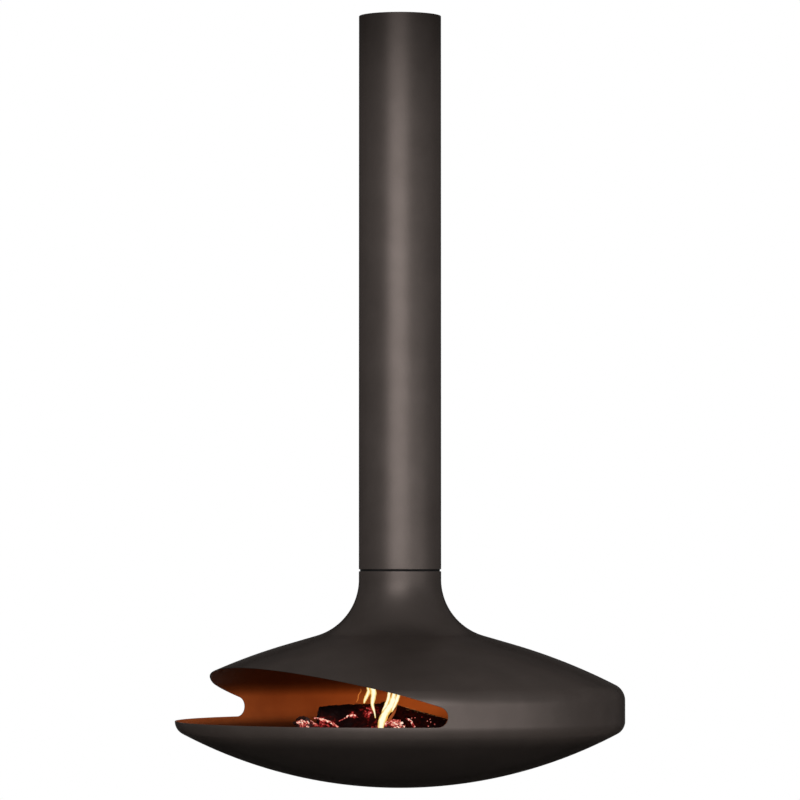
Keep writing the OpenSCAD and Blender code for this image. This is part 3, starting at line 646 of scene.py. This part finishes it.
# Ember bed: the same mound as the solid, broken up, with broken charcoal lying on it.
bed = {
    "base": 0.042, "heaps": [(-0.075, -0.262, 0.048, 0.062), (0.038, -0.062, 0.0384, 0.046),
                             (0.070, 0.060, 0.0168, 0.070)],
    "edge": 0.290, "floorR": 0.215, "floorDrop": 0.0617, "rise": math.tan(math.atan2(62 - 24, 298 - 215)),
    "rings": 96, "spokes": 300, "lump": 0.016, "lumpRise": 0.0032, "gritRise": 0.0016, "sink": 0.0030, "over": 0.001,
    "coals": 350, "coalsOut": 0.272, "onHeaps": 0.55, "heapSpread": 0.62, "looseOut": 0.262,
    "coalSize": (0.0045, 0.0105), "chipSize": (0.0028, 0.0052), "seed": 7,
    "placed": [((-0.0905, -0.258, 0.0035), 0.0095, 0.0), ((-0.100, -0.266, 0.001), 0.0085, 0.0),
               ((-0.104, -0.274, -0.005), 0.0085, 0.05), ((0.0140, 0.0303, 0.0074), 0.0022, 0.75),
               ((0.0214, 0.0358, 0.0086), 0.0020, 0.7), ((0.0375, 0.0491, 0.0105), 0.0018, 0.65),
               ((0.0609, 0.0617, 0.0054), 0.0020, 0.8), ((0.0676, 0.0596, -0.0027), 0.0024, 0.85),
               ((0.0805, 0.0652, -0.0080), 0.0024, 0.8), ((0.0638, 0.0538, -0.0138), 0.0022, 0.75),
               ((0.0560, 0.0560, 0.0000), 0.0016, 0.7)],
    "chips": [((-0.046, -0.279, -0.020), 0.0105, 20), ((0.052, -0.045, -0.005), 0.012, 16),
              ((0.060, -0.045, -0.015), 0.012, 14), ((-0.0125, -0.1435, 0.0175), 0.003, 4)],
}


def bedTop(x, y):
    # the solid's upper face: the heaps and its ripples
    heaps = sum(h * math.exp(-((x - cx) ** 2 + (y - cy) ** 2) / w ** 2) for cx, cy, h, w in bed["heaps"])
    fx, fy = math.radians(1) * x * 1000, math.radians(1) * y * 1000
    z = heaps - bed["base"] + 0.003 * math.sin(5.1 * fx + math.radians(31)) * math.cos(4.3 * fy)
    return z + 0.002 * math.sin(9 * fx - 7 * fy)


def bedFloor(r):
    return -bed["floorDrop"] + max(0.0, r - bed["floorR"]) * bed["rise"] + (0.0003 if r > bed["floorR"] else 0.0)


def makeBed():
    rings, spokes = bed["rings"], bed["spokes"]
    verts, heat, ash, faces = [], [], [], []
    for top in (1, 0):
        for i in range(1, rings + 1):
            r = bed["edge"] * i / rings
            for x, y, z in ringAt(r, bedFloor(r), spokes):
                deep = pale = 0.0
                if top:
                    here = Vector((x, y, 0))
                    lumps = cell(here, bed["lump"])
                    deep = (1 - lumps) ** 2
                    rough = bed["lumpRise"] * lumps + bed["gritRise"] * noise.noise(here * 160)
                    z = max(z + bed["over"], bedTop(x, y) + rough - bed["sink"])
                    pale = 0.35 + 0.6 * noise.noise(here * 45)
                verts.append((x, y, hearth["rimZ"] + z))
                heat.append(heatAt(Vector((x, y, z))) * (0.55 + 0.5 * deep) if top else 0.0)
                ash.append(max(0.0, pale))
    verts += [(0, 0, hearth["rimZ"] + bedTop(0, 0) - 0.002), (0, 0, hearth["rimZ"] + bedFloor(0))]
    heat += [0.0, 0.0]
    ash += [0.2, 0.0]
    under, peak, base = rings * spokes, 2 * rings * spokes, 2 * rings * spokes + 1
    for k in range(spokes):
        n = (k + 1) % spokes
        faces += [(peak, k, n), (base, under + n, under + k)]
        for i in range(rings - 1):
            a, b = i * spokes, (i + 1) * spokes
            faces += [(a + k, b + k, b + n, a + n), (under + a + n, under + b + n, under + b + k, under + a + k)]
        rim = (rings - 1) * spokes
        faces.append((rim + n, rim + k, under + rim + k, under + rim + n))
    thing = makeObject("emberMound", verts, faces)
    setValues(thing, "glowing", heat)
    setValues(thing, "ash", ash)
    return thing


def coalShape(draw, size):
    shape = bmesh.new()
    stretch = (draw.uniform(0.8, 1.5), draw.uniform(0.6, 1.0), draw.uniform(0.5, 0.85))
    for _ in range(draw.randint(13, 20)):
        v = Vector((draw.gauss(0, 1), draw.gauss(0, 1), draw.gauss(0, 1))).normalized()
        shape.verts.new((v.x * size * stretch[0], v.y * size * stretch[1], v.z * size * stretch[2]))
    made = bmesh.ops.convex_hull(shape, input=shape.verts)
    loose = {g for g in made["geom_interior"] + made["geom_unused"] if isinstance(g, bmesh.types.BMVert)}
    bmesh.ops.delete(shape, geom=list(loose), context="VERTS")
    bmesh.ops.subdivide_edges(shape, edges=shape.edges, cuts=1, use_grid_fill=True, smooth=0.25)
    shape.verts.index_update()
    verts = [v.co.copy() for v in shape.verts]
    faces = [[v.index for v in f.verts] for f in shape.faces]
    shape.free()
    return verts, faces


def randomTurn(draw):
    return Euler([draw.uniform(0, 6.28) for _ in range(3)]).to_matrix()


def logGap(place):
    # how far a point of the bed is from the nearest log's surface
    gap = 1.0
    for look in logs.values():
        a, b = Vector(look["from"]) / 1000, Vector(look["to"]) / 1000
        t = max(0.0, min(1.0, (place - a).dot(b - a) / (b - a).length_squared))
        radius = (look["r"][0] + (look["r"][1] - look["r"][0]) * t) / 1000
        gap = min(gap, (place - a - (b - a) * t).length - radius)
    return gap


def makeCoals():
    draw = random.Random(bed["seed"])
    verts, faces, heat, ash = [], [], [], []
    spots = [(Vector(at), size, warm) for at, size, warm in bed["placed"]]
    for at, spread, count in bed["chips"]:
        for _ in range(count):
            place = Vector(at) + Vector((draw.gauss(0, spread), draw.gauss(0, spread), 0))
            place.z = max(at[2], bedTop(place.x, place.y)) + draw.uniform(-0.002, 0.003)
            spots.append((place, draw.uniform(*bed["chipSize"]), draw.uniform(0.7, 1.0)))
    while len(spots) < bed["coals"]:
        if draw.random() < bed["onHeaps"]:
            cx, cy, _, w = bed["heaps"][draw.choice((0, 0, 1, 1, 2))]
            x, y = draw.gauss(cx, w * bed["heapSpread"]), draw.gauss(cy, w * bed["heapSpread"])
        else:
            r, a = bed["looseOut"] * math.sqrt(draw.random()), draw.uniform(0, 2 * math.pi)
            x, y = r * math.cos(a), r * math.sin(a)
        size = draw.uniform(*bed["coalSize"])
        if math.hypot(x, y) > bed["coalsOut"]:
            continue
        place = Vector((x, y, bedTop(x, y) - size * 0.15))
        if logGap(place) < size * 0.9:
            continue
        spots.append((place, size, None))
    for place, size, warm in spots:
        shapeVerts, shapeFaces = coalShape(draw, size)
        turned = randomTurn(draw)
        base = len(verts)
        spotHeat = heatAt(place) if warm is None else warm
        own = draw.uniform(0.25, 1.15) if warm is None else 1.0
        pale = draw.uniform(0.0, 0.6) if warm is None else 0.0
        for v in shapeVerts:
            p = turned @ v
            rise = p.z / size
            p = p + place
            verts.append((p.x, p.y, hearth["rimZ"] + p.z))
            warmth = spotHeat * own * (1.0 - 0.25 * rise) + 0.2 * spotHeat * noise.noise(p * 220)
            heat.append(max(0.0, min(1.0, warmth)))
            ash.append(max(0.0, pale * (0.5 + 0.5 * rise)))
        faces += [[base + k for k in f] for f in shapeFaces]
    thing = makeObject("coals", verts, faces, smooth=False)
    setValues(thing, "glowing", heat)
    setValues(thing, "ash", ash)
    return thing


emberMat = fireMaterial("emberBed", {
    "dark": (0.004, 0.0025, 0.0025), "light": (0.011, 0.0068, 0.006), "gloss": 0.03, "patch": 70.0, "ash": 0.15,
    "ashTone": (0.06, 0.048, 0.044),
    "grain": 500.0, "bumps": 0.8, "depth": 0.0012, "flicker": 170.0, "glow": emberGlow, "strength": 1.0})
coalMat = fireMaterial("brokenCharcoal", {
    "dark": (0.004, 0.0027, 0.0027), "light": (0.012, 0.0075, 0.0065), "gloss": 0.03, "patch": 90.0, "ash": 0.35,
    "ashTone": (0.09, 0.072, 0.066),
    "grain": 600.0, "bumps": 0.6, "depth": 0.0008, "flicker": 150.0, "glow": emberGlow, "strength": 1.1})
setSlot(makeBed(), "hearth", "embers", emberMat, "ember_bed")
setSlot(makeCoals(), "hearth", "embers", coalMat, "ember_bed")
print("embers ready")


# Sticks and flames are both swept along a line of points: metres, heights over the rim.
def smoothLine(points, count):
    pts = [Vector(p) for p in points]
    pts = [pts[0] * 2 - pts[1]] + pts + [pts[-1] * 2 - pts[-2]]
    out = []
    for i in range(count):
        u = i / (count - 1) * (len(points) - 1)
        n = min(int(u), len(points) - 2)
        t = u - n
        a, b, c, d = pts[n:n + 4]
        spot = 2 * b + (c - a) * t + (2 * a - 5 * b + 4 * c - d) * t ** 2 + (3 * b - a - 3 * c + d) * t ** 3
        out.append(0.5 * spot)
    return out


def sweep(points, widths, flat, rows, sides, wobble, seed, twist=0.0):
    # the flat side faces the photograph's camera
    faceWay = Vector((0.480, 0.877, 0.0))
    line = smoothLine(points, rows)
    sizes = [v.x for v in smoothLine([(w, 0, 0) for w in widths], rows)]
    verts, faces, edge, along = [], [], [], []
    for i, spot in enumerate(line):
        ahead = (line[min(i + 1, rows - 1)] - line[max(i - 1, 0)]).normalized()
        side = (faceWay - ahead * faceWay.dot(ahead)).normalized()
        front = ahead.cross(side).normalized()
        t = i / (rows - 1)
        turn = twist * t
        side, front = side * math.cos(turn) + front * math.sin(turn), front * math.cos(turn) - side * math.sin(turn)
        half = max(0.0, sizes[i]) / 2
        for j in range(sides):
            a = 2 * math.pi * j / sides
            rough = 1 + wobble * noise.noise(Vector((math.cos(a) * 1.6, math.sin(a) * 1.6, i * 0.22 + seed * 7)))
            p = spot + (side * math.cos(a) + front * math.sin(a) * flat) * half * rough
            verts.append((p.x, p.y, hearth["rimZ"] + p.z))
            edge.append(abs(math.sin(a)))
            along.append(t)
    for i in range(rows - 1):
        for j in range(sides):
            a, b = i * sides + j, i * sides + (j + 1) % sides
            faces.append((a, b, b + sides, a + sides))
    for ring, spot, flip in ((0, line[0], True), ((rows - 1) * sides, line[-1], False)):
        hub = len(verts)
        verts.append((spot.x, spot.y, hearth["rimZ"] + spot.z))
        edge.append(0.5)
        along.append(0.0 if flip else 1.0)
        for j in range(sides):
            face = (ring + j, ring + (j + 1) % sides, hub)
            faces.append(face[::-1] if flip else face)
    return verts, faces, edge, along


sticks = [
    {"points": [(-0.054, -0.243, 0.010), (-0.0357, -0.2276, 0.0062), (-0.0197, -0.211, -0.0015),
                (-0.004, -0.192, -0.014)], "widths": (0.003, 0.006, 0.0065, 0.005), "heat": 1.0},
    {"points": [(0.0605, -0.014, 0.0085), (0.070, -0.006, 0.002), (0.0818, 0.001, -0.0150)],
     "widths": (0.003, 0.0055, 0.006), "heat": 1.0},
    {"points": [(-0.110, -0.266, 0.003), (-0.094, -0.262, 0.0095), (-0.078, -0.250, 0.0085)],
     "widths": (0.006, 0.010, 0.007), "heat": 0.12, "ash": 0.0},
    {"points": [(0.030, -0.075, -0.012), (0.045, -0.050, 0.001), (0.058, -0.030, 0.0015)],
     "widths": (0.005, 0.008, 0.006), "heat": 0.85},
    {"points": [(-0.0175, -0.160, 0.0115), (-0.0150, -0.1565, 0.0155), (-0.0105, -0.1460, 0.0195),
                (-0.0045, -0.1366, 0.0140), (-0.0020, -0.1314, 0.0110)],
     "widths": (0.002, 0.0032, 0.004, 0.0036, 0.002), "heat": 1.0},
    {"points": [(-0.0220, -0.1810, 0.0010), (-0.0172, -0.1680, 0.0068), (-0.0145, -0.1570, 0.0120)],
     "widths": (0.002, 0.003, 0.002), "heat": 0.9},
    {"points": [(-0.030, -0.185, -0.030), (0.010, -0.150, -0.034), (0.050, -0.135, -0.036)],
     "widths": (0.008, 0.012, 0.008), "heat": 0.15},
    {"points": [(0.095, -0.050, -0.034), (0.135, -0.005, -0.036), (0.150, 0.050, -0.036)],
     "widths": (0.008, 0.011, 0.007), "heat": 0.12},
]
stickVerts, stickFaces, stickHeat, stickAsh = [], [], [], []
for n, look in enumerate(sticks):
    verts, faces, _, _ = sweep(look["points"], look["widths"], flat=0.85, rows=30, sides=14, wobble=0.5, seed=n)
    base = len(stickVerts)
    stickVerts += verts
    stickFaces += [[base + k for k in f] for f in faces]
    stickHeat += [look["heat"] * (0.75 + 0.35 * noise.noise(Vector(v) * 120)) for v in verts]
    stickAsh += [max(0.0, look.get("ash", 1.0) * (0.3 + 0.4 * noise.noise(Vector(v) * 60))) for v in verts]
stickPiece = makeObject("glowingSticks", stickVerts, stickFaces)
setValues(stickPiece, "glowing", stickHeat)
setValues(stickPiece, "ash", stickAsh)
setSlot(stickPiece, "hearth", "embers", coalMat)
print("sticks ready")

# Flames: flat tongues with a pale core, yellow edges and a redder foot and tip.
flames = {
    "leftTall": {"points": [(0.0217, -0.0895, 0.0094), (0.0151, -0.089, 0.0259), (0.0054, -0.0901, 0.0451),
                            (-0.0009, -0.085, 0.0615), (-0.0073, -0.08, 0.078), (-0.0146, -0.0807, 0.0917),
                            (-0.0212, -0.0803, 0.1082), (-0.0237, -0.0725, 0.1302), (-0.0303, -0.0721, 0.152)],
                 "widths": (0.003, 0.005, 0.009, 0.0135, 0.0165, 0.018, 0.017, 0.012, 0.0), "flat": 0.42,
                 "twist": 0.5},
    "leftShort": {"points": [(-0.0305, -0.0974, 0.0484), (-0.0292, -0.0949, 0.0581), (-0.0265, -0.09, 0.0693),
                             (-0.0238, -0.0852, 0.0832), (-0.0269, -0.0866, 0.097), (-0.0313, -0.0906, 0.118)],
                  "widths": (0.004, 0.009, 0.011, 0.012, 0.009, 0.0), "flat": 0.45, "twist": -0.4, "cool": 0.16},
    "wisp": {"points": [(-0.0495, -0.1115, 0.0520), (-0.0473, -0.1072, 0.0606), (-0.0466, -0.106, 0.0717),
                        (-0.0433, -0.0999, 0.0829), (-0.0446, -0.1023, 0.0930)],
             "widths": (0.001, 0.0020, 0.0024, 0.0016, 0.0), "flat": 0.5, "twist": 0.6, "cool": 0.74},
    "rightBody": {"points": [(0.0582, -0.0936, -0.0257), (0.0553, -0.0905, -0.0147), (0.0497, -0.0842, 0.0017),
                             (0.0442, -0.0733, 0.0181), (0.0401, -0.06, 0.0317), (0.0354, -0.0479, 0.0453),
                             (0.031, -0.0391, 0.0589), (0.0253, -0.0329, 0.0726), (0.0196, -0.0266, 0.0862),
                             (0.0157, -0.0213, 0.106)],
                  "widths": (0.010, 0.017, 0.021, 0.021, 0.020, 0.019, 0.018, 0.014, 0.008, 0.0), "flat": 0.5,
                  "twist": 0.35},
    "rightLeft": {"points": [(0.0415, -0.080, 0.012), (0.037, -0.072, 0.030), (0.030, -0.060, 0.046),
                             (0.0265, -0.052, 0.060), (0.023, -0.047, 0.074), (0.018, -0.041, 0.092),
                             (0.012, -0.036, 0.122)],
                  "widths": (0.004, 0.008, 0.010, 0.0095, 0.009, 0.007, 0.0), "flat": 0.55, "twist": -0.3},
    "rightMid": {"points": [(0.041, -0.060, 0.030), (0.035, -0.048, 0.048), (0.0315, -0.0405, 0.062),
                            (0.028, -0.034, 0.078), (0.022, -0.027, 0.098), (0.0145, -0.018, 0.130)],
                 "widths": (0.004, 0.009, 0.0105, 0.0105, 0.008, 0.0), "flat": 0.55, "twist": 0.4},
    "rightRight": {"points": [(0.047, -0.052, 0.026), (0.043, -0.040, 0.044), (0.040, -0.031, 0.060),
                              (0.037, -0.024, 0.076), (0.030, -0.017, 0.098), (0.0165, -0.006, 0.140)],
                   "widths": (0.004, 0.0085, 0.0105, 0.011, 0.009, 0.0), "flat": 0.55, "twist": -0.5},
    "rightGlow": {"points": [(0.056, -0.072, -0.006), (0.055, -0.060, 0.010), (0.0535, -0.047, 0.026),
                             (0.051, -0.037, 0.042)],
                  "widths": (0.007, 0.008, 0.006, 0.0), "flat": 0.5, "twist": 0.2, "cool": 0.95},
}
flameLook = {"glow": [(0.0, (0.20, 0.038, 0.014)), (0.2, (0.66, 0.17, 0.03)), (0.40, (0.82, 0.46, 0.09)),
                      (0.60, (0.88, 0.72, 0.28)), (0.82, (1.0, 0.96, 0.72))],
             "strength": 1.05, "tone": (0.02, 0.01, 0.005, 1), "rough": 0.9, "streak": 60.0,
             "stretch": (3.0, 3.0, 0.6), "streaks": (0.82, 1.1)}


def flameHeat(edge, along, cool):
    # palest along the middle of the flat side, redder at the foot and the tip
    core = (0.34 + 0.66 * edge ** 2.4) * (1 - cool)
    return max(0.0, core * min(1.0, 0.55 + 6 * along, 3.2 * (1.04 - along)))


def flameMaterial():
    mat, tree, shader, place = startMaterial("flame")
    warmth = node(tree, "ShaderNodeAttribute", attribute_name="glowing")
    streak = cloud(tree, place, flameLook["streak"], 2, 0.5, stretch=flameLook["stretch"])
    mixed = node(tree, "ShaderNodeMath", operation="MULTIPLY")
    tree.links.new(warmth.outputs["Fac"], mixed.inputs[0])
    tree.links.new(span(tree, streak, *flameLook["streaks"]), mixed.inputs[1])
    tree.links.new(ramp(tree, mixed.outputs[0], flameLook["glow"]), shader.inputs["Emission Color"])
    shader.inputs["Base Color"].default_value = flameLook["tone"]
    shader.inputs["Emission Strength"].default_value = flameLook["strength"]
    shader.inputs["Roughness"].default_value = flameLook["rough"]
    shader.inputs["Specular IOR Level"].default_value = 0.0
    return mat


flameMat = flameMaterial()
for n, (name, look) in enumerate(flames.items()):
    verts, faces, edge, along = sweep(look["points"], look["widths"], look["flat"], rows=72, sides=22, wobble=0.22,
                                      seed=n + 20, twist=look["twist"])
    tongue = makeObject("flame_" + name, verts, faces)
    setValues(tongue, "glowing", [flameHeat(e, t, look.get("cool", 0.0)) for e, t in zip(edge, along)])
    setSlot(tongue, "hearth", "embers", flameMat)
    tongue.visible_shadow = False
print("flames ready")

# The fire's glow on the inside of the hearth: lamps that turn with it.
glows = {
    "fireGlow": {"watts": 3.4, "size": 0.05, "tone": (1.0, 0.56, 0.23), "spot": (-0.21, 0.19, 0.13)},
    "flameGlow": {"watts": 0.35, "size": 0.04, "tone": (1.0, 0.95, 0.42), "spot": (-0.347, 0.304, 0.06)},
}
for name, look in glows.items():
    glowData = bpy.data.lights.new(name, "POINT")
    glowData.energy, glowData.shadow_soft_size, glowData.color = look["watts"], look["size"], look["tone"]
    glowLamp = bpy.data.objects.new(name, glowData)
    glowLamp.location = (look["spot"][0], look["spot"][1], hearth["rimZ"] + look["spot"][2])
    scene.collection.objects.link(glowLamp)
    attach(glowLamp, "hearth")

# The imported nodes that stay: each takes the finish of its slot.
metals = {
    "zinc_steel": {"dark": (0.36, 0.37, 0.38), "light": (0.52, 0.53, 0.54), "patch": 30.0, "grain": 900.0,
                   "rough": (0.3, 0.46), "bumps": 0.12, "depth": 0.0002, "metal": 1.0, "turned": True},
    "flue_steel": {"dark": (0.42, 0.41, 0.40), "light": (0.56, 0.55, 0.54), "patch": 14.0, "grain": 60.0,
                   "rough": (0.28, 0.42), "bumps": 0.1, "depth": 0.0002, "metal": 1.0, "stretch": (14.0, 14.0, 0.3)},
    "bronze": {"dark": (0.44, 0.29, 0.13), "light": (0.60, 0.43, 0.22), "patch": 60.0, "grain": 900.0,
               "rough": (0.28, 0.42), "bumps": 0.1, "depth": 0.0002, "metal": 1.0, "turned": True},
    "ball_steel": {"dark": (0.66, 0.67, 0.68), "light": (0.74, 0.75, 0.76), "patch": 200.0, "grain": 1500.0,
                   "rough": (0.08, 0.14), "bumps": 0.03, "depth": 0.0001, "metal": 1.0},
    # black steel, made near black and matte beyond that so that it also serves as painted shade for the gap at the
    # seam
    "black_steel": {"dark": (0.003, 0.003, 0.003), "light": (0.007, 0.0065, 0.0065), "patch": 50.0, "grain": 800.0,
                    "rough": (0.72, 0.86), "bumps": 0.2, "depth": 0.0003, "gloss": 0.02},
    "damper_steel": {"dark": (0.10, 0.085, 0.07), "light": (0.24, 0.22, 0.20), "patch": 24.0, "grain": 500.0,
                     "rough": (0.42, 0.62), "bumps": 0.2, "depth": 0.0004, "metal": 0.9},
    "cast_iron": {"dark": (0.016, 0.014, 0.0135), "light": (0.036, 0.030, 0.027), "patch": 26.0, "grain": 420.0,
                  "rough": (0.6, 0.8), "bumps": 0.55, "depth": 0.0009, "metal": 0.2, "gloss": 0.15},
    "pan_steel": {"dark": (0.10, 0.09, 0.082), "light": (0.20, 0.18, 0.165), "patch": 20.0, "grain": 500.0,
                  "rough": (0.4, 0.6), "bumps": 0.15, "depth": 0.0003, "metal": 0.8},
    "lagging": {"dark": (0.62, 0.58, 0.49), "light": (0.80, 0.77, 0.69), "patch": 40.0, "grain": 260.0,
                "rough": (0.9, 1.0), "bumps": 0.9, "depth": 0.0025, "gloss": 0.1, "stretch": (1.0, 1.0, 3.0)},
    "seal_rope": {"dark": (0.55, 0.53, 0.47), "light": (0.82, 0.80, 0.74), "patch": 330.0, "grain": 330.0,
                  "rough": (0.85, 0.95), "bumps": 0.9, "depth": 0.0014, "gloss": 0.1},
}
lathe = {"lines": 1400.0, "bumps": 0.2, "depth": 0.00015}


def latheMarks(mat):
    # fine turned grooves: the bump follows the distance from the flue's axis and the height
    tree = mat.node_tree
    shader = next(n for n in tree.nodes if n.type == "BSDF_PRINCIPLED")
    place = next(n for n in tree.nodes if n.type == "TEX_COORD").outputs["Object"]
    parts = node(tree, "ShaderNodeSeparateXYZ")
    flatWay = node(tree, "ShaderNodeVectorMath", operation="MULTIPLY")
    flatWay.inputs[1].default_value = (1, 1, 0)
    length = node(tree, "ShaderNodeVectorMath", operation="LENGTH")
    spread = node(tree, "ShaderNodeCombineXYZ")
    tree.links.new(place, parts.inputs[0])
    tree.links.new(place, flatWay.inputs[0])
    tree.links.new(flatWay.outputs[0], length.inputs[0])
    tree.links.new(length.outputs["Value"], spread.inputs["X"])
    tree.links.new(parts.outputs["Z"], spread.inputs["Y"])
    bump(tree, shader, cloud(tree, spread.outputs[0], lathe["lines"], 2), lathe["bumps"], lathe["depth"])


slotMats = {"inner_finish": innerFinish}
for slotName, look in metals.items():
    slotMats[slotName] = finishMaterial(slotName + "Finish", look)
    if look.get("turned"):
        latheMarks(slotMats[slotName])
replaced = {"hood", "bowl", "flue_casing", "ember_bed", *logs}
for part in frame["record"]["subparts"]:
    if part["node"] not in replaced:
        nodes[part["node"]].data.materials.clear()
        nodes[part["node"]].data.materials.append(slotMats[part["material_slot"]])
print("packed nodes finished")
